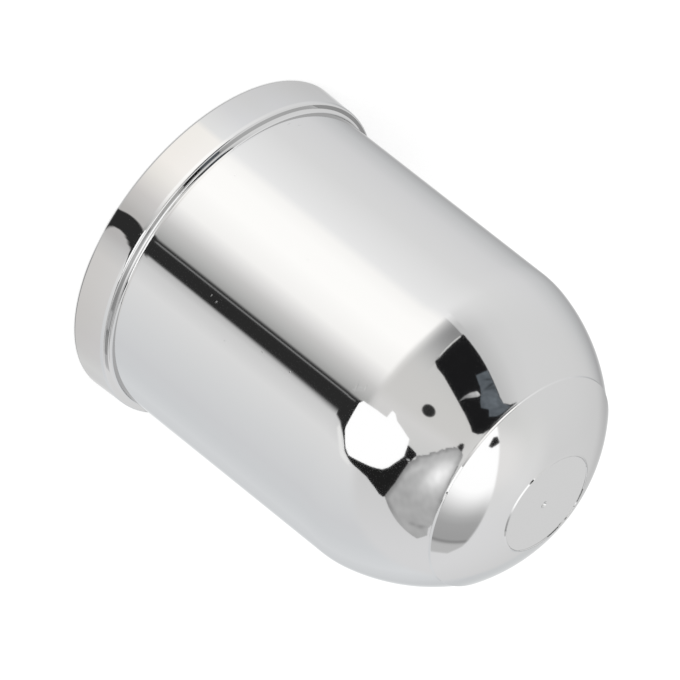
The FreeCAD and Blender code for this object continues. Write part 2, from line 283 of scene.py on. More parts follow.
outline = [point for point in outline if is_kept(point)]
rings = int(GATE_RING_REACH / GATE_RING_STEP)
for radius in WIDE_RINGS + [GATE_RING_STEP * i for i in range(rings, -1, -1)]:
    outline.append((radius, FACE_HEIGHT, math.pi, LAST_CORNER))
print("outline points with the gate's rings:", len(outline))

# %% [markdown]
# ## Turning the outline into the cap
# The line is turned round the axis in 256 steps. Where it meets the axis a single point closes each end
# with a fan. Every point gets its exact facing as a custom normal, so reflections run on without kinks.
# The rim is the widest place, and where it would pass the CAD model's own box, the whole cap is narrowed
# by a hair.

# %% Turn the cap
SEGMENTS = 256
ON_AXIS = 1e-6
box_low, box_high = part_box("ball_cover")
box_radius = min(box_high[0], box_high[1], -box_low[0], -box_low[1]) / MM
fit = min(1.0, box_radius / max(point[0] for point in outline))
print("widest radius in the frame:", round(box_radius, 4), "mm, scaled by", round(fit, 6))


def turn_cap(points):
    """Gives the turned shape's places, faces, normals, and which places are on the inside."""
    places = []
    normals = []
    inside = []
    faces = []
    rows = []
    for radius, height, heading, corner in points:
        out, up = math.sin(heading), -math.cos(heading)
        row = []
        for k in range(SEGMENTS if radius > ON_AXIS else 1):
            angle = 2 * math.pi * k / SEGMENTS
            x, y = radius * math.cos(angle) * fit, radius * math.sin(angle) * fit
            normal = Vector((out * math.cos(angle), out * math.sin(angle), up))
            z = height
            if abs(height - FACE_HEIGHT) < SAME_PLACE and radius < GATE_RING_REACH:
                sink, slope = gate_dimple(x, y)
                z -= sink
                normal = Vector((-slope.x, -slope.y, 1)).normalized()
            row.append(len(places))
            places.append((x * MM, y * MM, z * MM))
            normals.append(normal)
            inside.append(1.0 if corner < MOUTH_CORNER else 0.0)
        rows.append(row)
    for low, high in zip(rows, rows[1:]):
        for k in range(SEGMENTS):
            a, b = low[k % len(low)], low[(k + 1) % len(low)]
            c, d = high[(k + 1) % len(high)], high[k % len(high)]
            faces.append([i for n, i in enumerate((a, b, c, d)) if i not in (a, b, c, d)[:n]])
    return places, faces, normals, inside


places, faces, normals, inside = turn_cap(outline)
mesh = bpy.data.meshes.new("chrome_cap")
mesh.from_pydata(places, [], faces)
mesh.shade_smooth()
mesh.normals_split_custom_set_from_vertices(normals)
mesh.attributes.new("inside", "FLOAT", "POINT").data.foreach_set("value", inside)
cap = bpy.data.objects.new("chrome_cap", mesh)
bpy.context.collection.objects.link(cap)
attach(cap, "root")
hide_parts("ball_cover")
print("cap:", len(places), "points,", len(faces), "faces")

# %% [markdown]
# ## Bright chrome plating on moulded ABS
# Decorative chrome is a chromium layer under a micrometre thick over polished nickel. It mirrors about
# three fifths of the light, nearly without colour, and hardly more at the edges, which the edge tint
# below holds down. The mould's polish gives a faint long waviness, and the inside is duller.

# %% The plating's material
PLATING_GREY = "#CFCFCF"
EDGE_TINT = 0.79
reflectance = linear(PLATING_GREY)[1]

chrome, tree = new_material("bright_chrome_plating_on_moulded_abs")
place = add_node(tree, "ShaderNodeTexCoord").outputs["Object"]
is_inside = add_node(tree, "ShaderNodeAttribute", {"attribute_name": "inside"}).outputs["Fac"]

WAVE_LENGTH = 11.0
WAVE_HEIGHT = 0.004
waves = add_node(tree, "ShaderNodeTexNoise", {"noise_dimensions": "3D"}, {
    "Vector": place, "Scale": 1 / (WAVE_LENGTH * MM), "Detail": 1.0, "Roughness": 0.35,
})
wave_bump = add_node(tree, "ShaderNodeBump", None, {
    "Strength": 1.0, "Distance": WAVE_HEIGHT * MM, "Height": waves.outputs["Fac"],
})
OUTSIDE_ROUGHNESS = 0.05
INSIDE_ROUGHNESS = 0.3
roughness = add_node(tree, "ShaderNodeMapRange", None, {
    "Value": is_inside, "To Min": OUTSIDE_ROUGHNESS, "To Max": INSIDE_ROUGHNESS,
})

# %% [markdown]
# Handling has left a few tiny pits and rubs in the plating. Each is an egg-shaped spot at its own turn
# round the cap and height. It sinks a hair and is a little rougher, so it shows as a fleck of other tones.
# The two thinnest are long and lie close together: they show as fine scratches.

# %% The plating's marks
PIT_DEPTH = 0.012
PIT_ROUGHNESS = 0.22
SPOT_THICKNESS = 1.0

# Each row is: turn in degrees, height, radius there, half its width, half its height and its lean in
# degrees, with the lengths in millimetres.
MARKS = [
    (14.4, 21.2, 27.39, 0.3, 0.22, 20),
    (15.2, 22.5, 27.38, 0.4, 0.3, 30),
    (8.2, 50.3, 27.13, 1.0, 0.2, -10),
    (6.8, 51.6, 27.07, 0.6, 0.16, -10),
    (-13.5, 30.3, 27.32, 0.22, 0.22, 0),
    (-20.5, 11.0, 27.47, 0.18, 0.3, 10),
    (-11.0, 2.3, 29.06, 0.25, 0.16, 0),
    (-14.0, 3.4, 29.02, 0.2, 0.12, 25),
    (-53.0, 9.2, 27.48, 0.9, 0.07, 8),
    (-50.0, 8.2, 27.49, 0.7, 0.06, -6),
    (23.5, 27.0, 27.34, 0.14, 0.14, 0),
    (18.5, 33.7, 27.29, 0.12, 0.16, 0),
    (18.0, 39.5, 27.25, 0.16, 0.12, 0),
    (30.2, 2.9, 29.04, 0.3, 0.1, 40),
]
marks = None
for turn, height, radius, half_width, half_height, lean in MARKS:
    turn = math.radians(turn)
    spot = add_node(tree, "ShaderNodeMapping", {"vector_type": "TEXTURE"}, {
        "Vector": place,
        "Location": (radius * math.sin(turn) * MM, -radius * math.cos(turn) * MM, height * MM),
        "Rotation": (0, math.radians(lean), turn),
        "Scale": (half_width * MM, SPOT_THICKNESS * MM, half_height * MM),
    })
    away = add_node(tree, "ShaderNodeVectorMath", {"operation": "LENGTH"}, {0: spot.outputs[0]})
    fleck = add_node(tree, "ShaderNodeMapRange", {"interpolation_type": "SMOOTHSTEP"}, {
        "Value": away.outputs["Value"], "From Min": 0.0, "From Max": 1.0, "To Min": 1.0, "To Max": 0.0,
    }).outputs[0]
    if marks:
        fleck = add_node(tree, "ShaderNodeMath", {"operation": "ADD"}, {0: marks, 1: fleck}).outputs[0]
    marks = fleck
print("marks in the plating:", len(MARKS))
pit_bump = add_node(tree, "ShaderNodeBump", {"invert": True}, {
    "Strength": 1.0, "Distance": PIT_DEPTH * MM, "Height": marks, "Normal": wave_bump.outputs["Normal"],
})
rubbed = add_node(tree, "ShaderNodeMath", {"operation": "MULTIPLY_ADD"}, {
    0: marks, 1: PIT_ROUGHNESS, 2: roughness.outputs[0],
})
shader = add_node(tree, "ShaderNodeBsdfPrincipled", None, {
    "Base Color": (*linear(PLATING_GREY), 1), "Metallic": 1.0, "Roughness": rubbed.outputs[0],
    "Specular Tint": (EDGE_TINT, EDGE_TINT, EDGE_TINT, 1), "Normal": pit_bump.outputs["Normal"],
})
add_node(tree, "ShaderNodeOutputMaterial", None, {"Surface": shader.outputs[0]})
mesh.materials.append(chrome)

# %% [markdown]
# ## The room that the chrome mirrors
# A mirror is lit by what it sees, so the room is built for the cap alone. Its walls and cards are seen
# only by mirror rays: not by the camera, and they throw no light or shadow. Each sits far away in a
# direction that is given as two angles, the azimuth round the cap (0 is towards the camera and 90 is
# along +X) and the elevation above the floor. A card's colour is written as the colour it shows in the
# plating, and one function works out how brightly it has to glow for that.

# %% Helpers for the room
ROOM_CENTRE = Vector((0, 0, 0.04))
WALL_DISTANCE = 9.0
CARD_DISTANCE = 8.0


def glow_for(seen_colour):
    """The glow of a card that shows this colour in the plating."""
    return tuple(c / reflectance for c in linear(seen_colour))


def towards(azimuth, elevation):
    """The unit direction of an azimuth and elevation in degrees."""
    a, e = math.radians(azimuth), math.radians(elevation)
    return Vector((math.sin(a) * math.cos(e), -math.cos(a) * math.cos(e), math.sin(e)))


def mix(a, b, share):
    """A colour between two colours."""
    return tuple(p + (q - p) * share for p, q in zip(a, b))


def ease(value, low, high):
    """Rises smoothly from 0 at low to 1 at high."""
    t = min(1, max(0, (value - low) / (high - low)))
    return t * t * (3 - 2 * t)


def ramp(stops, value):
    """The glow at a value along a row of (value, seen colour) stops."""
    for (low, a), (high, b) in zip(stops, stops[1:]):
        if value <= high:
            return mix(glow_for(a), glow_for(b), max(0, (value - low) / (high - low)))
    return glow_for(stops[-1][1])


glow_material, tree = new_material("glowing_card_for_mirror_rays")
glow = add_node(tree, "ShaderNodeAttribute", {"attribute_name": "glow"})
cover = add_node(tree, "ShaderNodeAttribute", {"attribute_name": "cover"})
emission = add_node(tree, "ShaderNodeEmission", None, {"Color": glow.outputs["Color"], "Strength": 1.0})
clear = add_node(tree, "ShaderNodeBsdfTransparent")
card_mix = add_node(tree, "ShaderNodeMixShader", None, {
    0: cover.outputs["Fac"], 1: clear.outputs[0], 2: emission.outputs[0],
})
add_node(tree, "ShaderNodeOutputMaterial", None, {"Surface": card_mix.outputs[0]})
glow_material.cycles.emission_sampling = "NONE"


def place_in_room(name, points, faces, glows, covers):
    """Makes one thing of the room, which only mirror rays see."""
    shape = bpy.data.meshes.new(name)
    shape.from_pydata(points, [], faces)
    colours = [c for glow in glows for c in (*glow, 1)]
    shape.attributes.new("glow", "FLOAT_COLOR", "POINT").data.foreach_set("color", colours)
    shape.attributes.new("cover", "FLOAT", "POINT").data.foreach_set("value", covers)
    shape.materials.append(glow_material)
    thing = bpy.data.objects.new(name, shape)
    bpy.context.collection.objects.link(thing)
    for kind in ("camera", "diffuse", "transmission", "volume_scatter", "shadow"):
        setattr(thing, "visible_" + kind, False)
    return thing


# %% [markdown]
# The tent's wall is a whole sphere of soft greys. The cap's upright body mirrors its low belt, just
# under the horizon, and the dome mirrors the upper part.

# %% The tent's walls
# Each row is an azimuth and the colour that the plating shows there.
# In the low belt the near-white stretch from -48 to -4 is painted light from a strip light, and the grey
# dip from 4 to 36, round the pole, is painted shade.
LOW_BELT = [
    (-180, "#C4C4C4"), (-170, "#B6B6B6"), (-161, "#A7A7A8"), (-153, "#B5B6B7"), (-140, "#C6C7C8"),
    (-120, "#D2D2D3"), (-88, "#D6D6D6"), (-60, "#E3E3E3"), (-54, "#E7E7E7"), (-48, "#F6F5F3"),
    (-38, "#FCFBF9"), (-22, "#FDFCFA"), (-4, "#F3F2F0"), (4, "#DBDAD9"), (10, "#C5C4C3"),
    (17, "#B0B0AF"), (22, "#9C9C9B"), (36, "#B8B8B8"), (41, "#CBCBCB"), (54, "#D8D8D8"),
    (80, "#D0D1D2"), (104, "#CBCCCE"), (120, "#CDCFD1"), (140, "#D7D9DB"), (152, "#D3D5D7"),
    (162, "#CACCCE"), (172, "#CDCFD0"), (180, "#C8C8C8"),
]
HIGH_WALL = [
    (-180, "#D2D2D2"), (-155, "#CDCDCD"), (-125, "#CFCFCF"), (-85, "#D0D0D0"), (-70, "#CCCCCC"),
    (-62, "#C3C3C3"), (-56, "#BCBCBC"), (-30, "#C2C2C1"), (-12, "#C8C7C5"), (6, "#CAC9C7"),
    (14, "#D0CFCE"), (30, "#CACAC9"), (60, "#C9C9C9"), (110, "#D1D1D2"), (140, "#D5D5D6"),
    (180, "#D2D2D2"),
]
NOSE_WALL = [
    (-180, "#D9D9D9"), (-130, "#D4D4D3"), (-80, "#CDCDCC"), (0, "#D2D2D1"), (70, "#D8D8D7"),
    (150, "#D5D5D5"), (180, "#D9D9D9"),
]
TOP_TONE = "#DEDDDC"
# Well below the horizon the wall darkens: painted shade under the cap.
GROUND_SHADE_TONE = "#6A6A6B"

# Each row is the azimuth that it runs up to, and the elevations between which the belt becomes the wall.
HORIZON = [(-56, -14, 10), (22, -6.5, 3), (181, 1, 8)]
NOSE_BLEND = (50, 66)
TOP_BLEND = (66, 84)
GROUND_BLEND = (32, 46)
GROUND_SHARE = 0.5
WALL_STEP = 1


def wall_glow(azimuth, elevation):
    """The tent's glow in one direction."""
    low, high = next((low, high) for limit, low, high in HORIZON if azimuth < limit)
    glow = mix(ramp(LOW_BELT, azimuth), ramp(HIGH_WALL, azimuth), ease(elevation, low, high))
    glow = mix(glow, ramp(NOSE_WALL, azimuth), ease(elevation, *NOSE_BLEND))
    glow = mix(glow, glow_for(TOP_TONE), ease(elevation, *TOP_BLEND))
    return mix(glow, glow_for(GROUND_SHADE_TONE), GROUND_SHARE * ease(-elevation, *GROUND_BLEND))


def build_wall():
    """The tent's wall as one sphere of small cells."""
    points = []
    glows = []
    cells = []
    across = 360 // WALL_STEP + 1
    for elevation in range(-90, 91, WALL_STEP):
        for azimuth in range(-180, 181, WALL_STEP):
            points.append(ROOM_CENTRE + towards(azimuth, elevation) * WALL_DISTANCE)
            glows.append(wall_glow(azimuth, elevation))
    for row in range(180 // WALL_STEP):
        for k in range(across - 1):
            start = row * across + k
            cells.append((start, start + 1, start + across + 1, start + across))
    return place_in_room("tent_wall", points, cells, glows, [1.0] * len(points))


build_wall()

# %% [markdown]
# ## Cards in the room
# Sharp shapes are cut as cards. A card's outline is a list of corners in degrees, and it is filled with
# small triangles, so that it curves with the wall and can be shaded from point to point.

# %% Cut a card
LAYER_GAP = 0.25
EDGE_CLEARANCE = 0.4
INSIDE_ONLY = 1
SAME_SPOT = 1e-6


def split_edges(corners, spacing):
    """The same outline with more points along its edges."""
    points = []
    for a, b in zip(corners, corners[1:] + corners[:1]):
        a, b = Vector(a), Vector(b)
        pieces = max(1, math.ceil(max(abs(b.x - a.x) / spacing[0], abs(b.y - a.y) / spacing[1])))
        points += [a.lerp(b, k / pieces) for k in range(pieces)]
    return points


def is_within(corners, spot):
    """Whether a spot is inside an outline."""
    odd = False
    for a, b in zip(corners, corners[1:] + corners[:1]):
        if (a.y > spot.y) != (b.y > spot.y) and spot.x < a.x + (b.x - a.x) * (spot.y - a.y) / (b.y - a.y):
            odd = not odd
    return odd


def edge_distance(corners, spot):
    """How far a spot is from an outline."""
    least = math.inf
    for a, b in zip(corners, corners[1:] + corners[:1]):
        foot, share = geometry.intersect_point_line(spot, a, b)
        nearest = foot if 0 < share < 1 else a
        least = min(least, (spot - nearest).length)
    return least


def in_room(layer):
    """A function that puts an azimuth and elevation on the card sphere, nearer for each layer."""
    return lambda spot: ROOM_CENTRE + towards(spot.x, spot.y) * (CARD_DISTANCE - layer * LAYER_GAP)


def cut_card(name, corners, glow, layer=0, spacing=(1.5, 1.5), soft=0.0, fade=None, put=None):
    """Cuts one card from an outline, and puts its spots in the room.

    Its glow is a seen colour, or a function of a spot's two numbers, as its fade is.
    """
    put = put or in_room(layer)
    border = split_edges(corners, spacing)
    low = [min(spot[i] for spot in border) for i in (0, 1)]
    high = [max(spot[i] for spot in border) for i in (0, 1)]
    spots = list(border)
    for i in range(int((high[0] - low[0]) / spacing[0]) + 1):
        for j in range(int((high[1] - low[1]) / spacing[1]) + 1):
            spot = Vector((low[0] + (i + 0.5) * spacing[0], low[1] + (j + 0.5) * spacing[1]))
            if is_within(border, spot) and edge_distance(border, spot) > min(spacing) * EDGE_CLEARANCE:
                spots.append(spot)
    loop = list(range(len(border)))
    spots, _, triangles = delaunay_2d_cdt(spots, [], [loop], INSIDE_ONLY, SAME_SPOT)[:3]
    shade = glow if callable(glow) else lambda azimuth, elevation: glow_for(glow)
    covers = [ease(edge_distance(border, spot), 0, soft) if soft else 1.0 for spot in spots]
    if fade:
        covers = [cover * fade(*spot) for cover, spot in zip(covers, spots)]
    print(name, len(triangles), "triangles")
    points = [put(spot) for spot in spots]
    glows = [shade(*spot) for spot in spots]
    return place_in_room(name, points, triangles, glows, covers)


def oval(azimuth, elevation, half_width, half_height, count=40):
    """Corners of an oval."""
    turns = [2 * math.pi * k / count for k in range(count)]
    return [(azimuth + half_width * math.cos(t), elevation + half_height * math.sin(t)) for t in turns]


HUMP_FALL = 2.2


def hump(azimuth, elevation, middle, reach):
    """A smooth hump: 1 in the middle, about a tenth at the reach, and soon 0 past it."""
    across = (azimuth - middle[0]) / reach[0]
    up = (elevation - middle[1]) / reach[1]
    return math.exp(-HUMP_FALL * (across ** 2 + up ** 2))


def crumple(azimuth, elevation, size, seed):
    """Smooth unevenness between about -1 and 1."""
    return noise.noise(Vector((azimuth / size[0], elevation / size[1], seed)))


# %% [markdown]
# A black card with grey-blue cloth over its upper corner stands on the -X side, over a painted shadow.

# %% The black card, its cloth and the painted shadow under it
BLACK = "#1A1A1B"
cut_card("black_card", [
    (-53.3, 7.3), (-44, 8.3), (-36, 9.5), (-27, 10.9), (-25, 14), (-24.3, 20), (-22.4, 26),
    (-19.5, 35), (-16.5, 43), (-13, 49), (-10, 52), (-12.5, 55), (-18, 56.8), (-28, 57), (-40, 55),
    (-50, 52.8), (-60, 50), (-68, 47.5), (-60, 48.6), (-53.5, 47.2), (-52.6, 44), (-53.4, 29),
    (-53.6, 20),
], BLACK)
cut_card("card_edge_light", [
    (-51, 7.9), (-44, 8.7), (-36, 9.9), (-28, 11.1), (-36, 9.3), (-44, 8.1), (-51, 7.3),
], "#D8D8D6", layer=1, spacing=(0.8, 0.4))

CLOTH_TONE = 92
CLOTH_LIGHT = 14
CLOTH_GRAIN = 14
CLOTH_TINT = (0.88, 1.0, 1.12)
CREASE_MIDDLE = -50

# Each row is the painted shade in a crease: how much darker it is, its slant, its middle and its reach.
CLOTH_CREASE_SHADES = [
    (44, -0.15, (-49, 36.3), (7, 0.8)),
    (34, 0.2, (-50, 33.4), (5, 0.8)),
    (30, 0.1, (-50, 38.4), (6, 0.7)),
]


def cloth_glow(azimuth, elevation):
    """Grey-blue cloth, with painted light on its upper half and painted shade in its creases."""
    tone = CLOTH_TONE + CLOTH_LIGHT * hump(azimuth, elevation, (-45, 44), (9, 6))
    tone += CLOTH_GRAIN * crumple(azimuth, elevation, (4, 1.6), 3)
    for depth, slant, middle, reach in CLOTH_CREASE_SHADES:
        tone -= depth * hump(azimuth, elevation + slant * (azimuth - CREASE_MIDDLE), middle, reach)
    return tuple(c * tint for c, tint in zip(glow_for(grey(tone)), CLOTH_TINT))


cut_card("grey_blue_cloth", [
    (-53, 29), (-43, 29), (-41.5, 33), (-41, 35), (-38.5, 38.5), (-34, 42), (-32, 45), (-37.5, 47.6),
    (-34, 51), (-42, 52.6), (-50, 52), (-60, 49.4), (-53.5, 47.2), (-52, 44),
], cloth_glow, layer=1, spacing=(0.8, 0.6))

LIT_TONE = 200
LIT_GRAIN = 30
LIT_FALL = 6
LIT_START = -37


def lit_edge_glow(azimuth, elevation):
    """Bright where it leaves the cloth, and ever darker towards its tip on the card."""
    tone = LIT_TONE + LIT_GRAIN * crumple(azimuth, elevation, (3, 1), 5)
    return glow_for(grey(tone - LIT_FALL * (azimuth - LIT_START)))


cut_card("lit_edge", [
    (-37.6, 38.8), (-35, 39), (-30, 37.6), (-26, 36), (-19, 35.2), (-26, 34.8), (-32, 35.2), (-37, 36.4),
], lit_edge_glow, layer=2, spacing=(0.8, 0.6))

# A card of painted shadow under the black card.
UNDER_CARD_SHADOW = "#868686"
UNDER_CARD_FAR_END = -50
UNDER_CARD_FOOT = -8
UNDER_CARD_FOOT_SLANT = 0.25
UNDER_CARD_FULL = 5
UNDER_CARD_FADE_ENDS = (-52, -16)


def under_card_shadow_fade(azimuth, elevation):
    """The painted shadow is full just under the card's far corner, and fades downwards and towards the
    camera.
    """
    fade_start = UNDER_CARD_FOOT + UNDER_CARD_FOOT_SLANT * (azimuth - UNDER_CARD_FAR_END)
    return ease(elevation, fade_start, UNDER_CARD_FULL) * (1 - ease(azimuth, *UNDER_CARD_FADE_ENDS))


cut_card("shadow_under_card", [
    (-52.4, UNDER_CARD_FOOT), (-8, UNDER_CARD_FOOT), (-8, 13), (-26, 12), (-52.4, 7.4),
], UNDER_CARD_SHADOW, fade=under_card_shadow_fade)

# %% The opening for the lens
cut_card("lens_opening", oval(0.4, 26.9, 4.6, 4.2), "#2C2C2C", soft=0.6, spacing=(0.5, 0.5))

# %% [markdown]
# The main light in the room is an octagonal softbox. It has a dark rim and stands on a dark pole, and
# the cap's body mirrors the pole as a straight stripe from the collar to the shoulder.

# %% The octagonal softbox, its dark rim and its pole
def ragged(corners, depth, step, seed):
    """A line with small irregular teeth."""
    source = random.Random(seed)
    points = []
    for a, b in zip(corners, corners[1:]):
        a, b = Vector(a), Vector(b)
        across = Vector((a.y - b.y, b.x - a.x)).normalized()
        count = max(1, round((b - a).length / step))
        for k in range(count):
            points.append(tuple(a.lerp(b, k / count) + across * source.uniform(-depth, depth)))
    return points + [corners[-1]]


RIM_TOP = [
    (38.2, 31), (41, 30.6), (47, 29.6), (52, 27.8), (55, 26.6), (60, 25.6), (64, 24), (68, 21.8),
    (71.5, 20.3),
]
cut_card("softbox_rim", [
    (29.3, 27), (30.8, 30), (32.5, 32.5), (34.2, 33), (36.5, 32),
    *ragged(RIM_TOP, depth=0.55, step=1.2, seed=2),
    (72.5, 19), (71, 17.2), (67.5, 15.2), (64, 12.4), (62, 10.5), (59.7, 6), (58.7, 3), (57.5, 0.8),
    (55.8, -1), (53.2, -3.2), (50.2, -5.4), (48, -7.4), (46.3, -9.4), (44.6, -11.4), (42.6, -13),
    (22, -13), (20.6, -8.6), (30, 0),
], "#1E1E1E", spacing=(1.0, 1.0))
cut_card("softbox_pole", [
    (20.7, -10), (46.8, -10), (45.3, -12), (44.2, -13.8), (43.2, -15.8), (41.2, -19), (40.3, -23.5),
    (39.8, -26.4), (38.4, -26.8), (37.1, -27.5), (36.1, -28.3), (35.8, -29.5), (35.8, -40),
    (21.4, -40), (21.4, -26), (20.7, -14),
], "#292929", spacing=(0.6, 0.8), soft=1.8)
cut_card("octagonal_softbox", [
    (25, 26.2), (29, 26.8), (38, 27), (42, 25.2), (50, 20.8), (53, 17.8), (54.2, 12), (54.6, -0.4),
    (52, -2.6), (42, -10.6), (40, -11.2), (23.2, -11.2), (20.4, -8.7), (20, 4), (20.3, 10.2),
    (14.6, 11), (15.2, 13.2), (18.5, 16), (21, 20.4),
], "#FFFFFF", layer=1)
cut_card("pole_shine", [(23.9, -40), (25.3, -40), (25.3, -24), (24.4, -15), (23.4, -15), (23.9, -24)],
         "#808080", layer=1, spacing=(0.2, 1.0), soft=0.6)
cut_card("clamp_shine", oval(39.4, 29.6, 0.9, 1.3, 12), "#B4B4B4", layer=1, spacing=(0.5, 0.5), soft=0.5)
cut_card("rim_shine", [
    (40, -18), (44, -12), (50, -6), (54, -1.5), (57, 2), (62, 2), (58.5, -6), (51, -13), (45, -20),
], "#E4E4E3", layer=-1, spacing=(0.9, 0.9), soft=2.2)
# Two lighter streaks next to the pole are painted light along creases in the tent.
TENT_CREASE_SHINES = [((11.5, -11), (17.5, -23)), ((14.5, -12.5), (20, -25))]
for number, (start, end) in enumerate(TENT_CREASE_SHINES):
    cut_card("tent_crease_%d" % number, [
        start, (start[0] + 0.9, start[1]), (end[0] + 0.5, end[1]), (end[0] - 0.7, end[1]),
    ], "#C8C8C8", spacing=(0.4, 1.0), soft=0.7)

# %% [markdown]
# A large sheet of grey paper hangs from overhead down on the +X side. It is nearly white where the light
# falls on it and darker further down, and its edge towards the camera is ragged.

# %% The hanging sheet
SHEET_TOP = [
    (16, 55.4), (20, 55.8), (30, 55.6), (36, 55), (40, 54.5), (45, 53.6), (50, 52.8), (55, 52.5),
    (60, 51.5), (65, 50), (70, 48.2), (75, 46.9), (80, 45.2), (85, 43.2), (90, 41), (94, 37.5),
    (97, 34.5), (104, 31),
]
SHEET_SIDE = [(40, 30.5), (33, 34.5), (27, 40), (21, 44.2), (15.5, 47), (12.5, 50)]
sheet_corners = [
    *ragged(SHEET_SIDE, depth=0.8, step=1.0, seed=4), (11.5, 53), *SHEET_TOP,
    (106, 25.6), (100, 24.4), (90, 22.6), (80, 21.2), (72, 20), (68, 21.5), (60, 25), (50, 28), (42, 30),
]
sheet_border = [Vector(spot) for spot in sheet_corners]
SHEET_TONE = 168
SHEET_SHINE = 72
SHEET_SECOND_SHINE = 18
SHEET_GRAIN = 9
EDGE_SHADE = 32
EDGE_REACH = 3.0
EDGE_SHADE_ENDS = (76, 94)

# Each row is a darker spot: how much darker it is, its middle and its reach.
SHEET_DARK_SPOTS = [(24, (92, 29), (3.0, 2)), (22, (95, 32), (2.6, 3))]


def sheet_glow(azimuth, elevation):
    """Paper with two painted slanting shines and two darker spots, and with edges that turn into painted
    shadow.
    """
    along_shine = elevation + 0.25 * (azimuth - 44)
    across_second_shine = azimuth + 1.25 * (elevation - 38)
    tone = SHEET_TONE + SHEET_SHINE * hump(azimuth, along_shine, (44, 47.2), (26, 10.5))
    tone += SHEET_SECOND_SHINE * hump(across_second_shine, elevation, (40, 34), (5, 7))
    tone -= sum(depth * hump(azimuth, elevation, middle, reach) for depth, middle, reach in SHEET_DARK_SPOTS)
    shaded = 1 - ease(edge_distance(sheet_border, Vector((azimuth, elevation))), 0, EDGE_REACH)
    tone -= EDGE_SHADE * shaded * (1 - ease(azimuth, *EDGE_SHADE_ENDS))
    return glow_for(grey(tone + SHEET_GRAIN * crumple(azimuth, elevation, (7, 2.5), 8)))


cut_card("hanging_sheet", sheet_corners, sheet_glow, layer=1, spacing=(1.2, 1.0))

# The fold along the sheet's top is a strip of painted shade.
FOLD_DEPTH = 0.6
FOLD_START = 30
FOLD_END = 85
FOLD_SHADE_TONE = 122
FOLD_FALL = 50
sheet_fold_shade = [spot for spot in SHEET_TOP if FOLD_START <= spot[0] <= FOLD_END]


def fold_shade_glow(azimuth, elevation):
    """Painted shade in the fold along the sheet's top, darker in its half away from the camera."""
    return glow_for(grey(FOLD_SHADE_TONE - FOLD_FALL * ease(azimuth, 50, 75)))


cut_card("sheet_fold_shade", sheet_fold_shade + [(a, e - FOLD_DEPTH) for a, e in reversed(sheet_fold_shade)], fold_shade_glow,
         layer=2, spacing=(0.8, 0.3))
cut_card("sheet_tip", [
    (3.6, 52.3), (6, 53.8), (12, 54.4), (15, 55), (12.6, 52), (11.6, 50), (7, 50.8),
], "#2A2A2A", layer=2, spacing=(0.8, 0.8), soft=0.5)

# %% [markdown]
# The flat disc mirrors one spot of the wall behind the cap. Most of the way round that spot lies a band of
# painted shade. Neither the disc nor the nose faces it, but the small roundings do: it draws the dark lines
# on the far end of the collar's ledge. It is laid out by the rounding that mirrors it: the turn round the
# cap at which the rounding faces, and how far it tilts from facing straight up.

# %% The painted shade behind the cap
# The camera's elevation as the ledge sees it, in degrees, and the way that the camera looks.
CAMERA_RISE = 28.6
LOOKING = -towards(0, CAMERA_RISE)
SHADE_BEHIND_TONE = 80
SHADE_BEHIND_FOOT_TONE = 186


def mirrored(spot):
    """Puts what a surface with this turn and tilt mirrors on the card sphere."""
    facing = towards(spot.x, 90 - spot.y)
    return ROOM_CENTRE + LOOKING.reflect(facing) * CARD_DISTANCE


def shade_behind_glow(turn, tilt):
    """Painted shade: dark straight behind the cap, and further round on the -X side a middle grey with a
    lighter foot.
    """
    tone = SHADE_BEHIND_TONE + 60 * ease(turn, 240, 256) + 20 * ease(turn, 290, 322)
    lighter = (SHADE_BEHIND_FOOT_TONE - tone) * ease(turn, 262, 286) * (1 - ease(tilt, 7, 8.2))
    return glow_for(grey(tone + lighter))


cut_card("shade_behind_cap", [
    (100, 4), (322, 4), (322, 15.2), (100, 15.2),
], shade_behind_glow, spacing=(4.0, 0.8), put=mirrored)

# %% [markdown]
# Overhead the same sheet is lit from close by and runs on as one straight edge across the room's top.
# Near the zenith azimuths crowd together, so this part is laid out flat: the first number is degrees
# towards +X, and the second is degrees towards the camera.

# %% The sheet overhead
def overhead(layer):
    """A function that puts flat degrees from the zenith on the card sphere."""
    def put(spot):
        azimuth = math.degrees(math.atan2(spot.x, spot.y))
        return ROOM_CENTRE + towards(azimuth, 90 - spot.length) * (CARD_DISTANCE - layer * LAYER_GAP)
    return put


OVERHEAD_FADE = [
    (0, "#FFFFFF"), (13, "#FEFEFE"), (17, "#F4F4F4"), (21, "#E2E2E2"), (26, "#C8C8C8"), (31, "#AEAEAE"),
    (36, "#A0A0A0"), (45, "#9B9B9B"), (60, "#A5A5A5"),
]


WHITE_SIDE = 130
WHITE_SPREAD = 0.17
LOW_FOLD_SHADE_TONE = "#7E7E7E"
LOW_FOLD_SHARE = 0.9
LOW_FOLD_SLANT = 0.12
LOW_FOLD_AZIMUTH = 128
PAST_FOLD_TONE = "#B9B9B9"
PAST_FOLD_SHARE = 0.8


def overhead_glow(sideways, forward):
    """White near the zenith and greyer further out on the +X side, with painted shade in one fold near its
    low end.
    """
    away = math.hypot(sideways, forward)
    azimuth = math.degrees(math.atan2(sideways, forward))
    glow = ramp(OVERHEAD_FADE, away - WHITE_SPREAD * max(0, WHITE_SIDE - azimuth))
    outward = away + LOW_FOLD_SLANT * (azimuth - LOW_FOLD_AZIMUTH)
    fold = hump(outward, 0, (49.3, 0), (1.4, 1))
    past = ease(outward, 50, 52)
    glow = mix(glow, glow_for(PAST_FOLD_TONE), past * PAST_FOLD_SHARE)
    return mix(glow, glow_for(LOW_FOLD_SHADE_TONE), LOW_FOLD_SHARE * fold)


